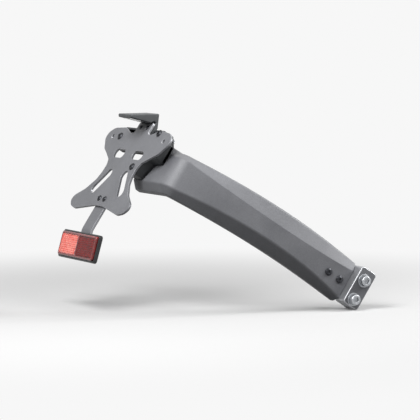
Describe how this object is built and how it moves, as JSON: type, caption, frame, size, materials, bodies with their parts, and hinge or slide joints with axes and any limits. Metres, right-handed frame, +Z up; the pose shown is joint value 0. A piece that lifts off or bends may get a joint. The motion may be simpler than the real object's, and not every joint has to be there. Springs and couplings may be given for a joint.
{
  "type": "motorcycle tail tidy",
  "caption": "Side-mounted tail tidy: a folded swingarm arm that holds a number-plate carrier, plate lamp and rear reflector behind the tyre.",
  "frame": {"origin": "midway between the two swingarm bolts, on the block's face that meets the swingarm", "axes": "+X to the vehicle's right, -Y to the rear, +Z up"},
  "size_m": [0.2517, 0.3248, 0.2325],
  "materials": {
    "powder_coat": "satin graphite powder coat on aluminium",
    "black_coat": "satin black powder coat on cast aluminium",
    "black_plastic": "moulded, fine grain",
    "black_steel": "black zinc-nickel",
    "stainless": "turned stainless",
    "clear_lens": "clear polycarbonate",
    "circuit_board": "white solder mask",
    "black_rubber": "moulded rubber",
    "red_lens": "moulded red acrylic with prism cells"
  },
  "bodies": {
    "root": {"arm_shell": "powder_coat", "mount_block": "powder_coat", "arm_screws": "black_steel", "swingarm_bolts": "stainless", "swingarm_washers": "stainless", "rear_bracket": "black_coat", "bracket_bolts": "black_steel", "bracket_washers": "stainless", "bracket_nuts": "stainless", "carrier_plate": "powder_coat", "carrier_screws": "black_steel", "carrier_nuts": "stainless", "lamp_housing": "black_plastic", "lamp_lens": "clear_lens", "lamp_board": "circuit_board", "lamp_screws": "black_steel", "lamp_grommet": "black_rubber", "reflector_stem": "powder_coat", "stem_screws": "black_steel", "stem_nuts": "stainless", "reflector_tray": "black_plastic", "reflector_lens": "red_lens", "reflector_stud": "stainless", "reflector_washer": "stainless", "reflector_nut": "stainless"}
  },
  "joints": []
}
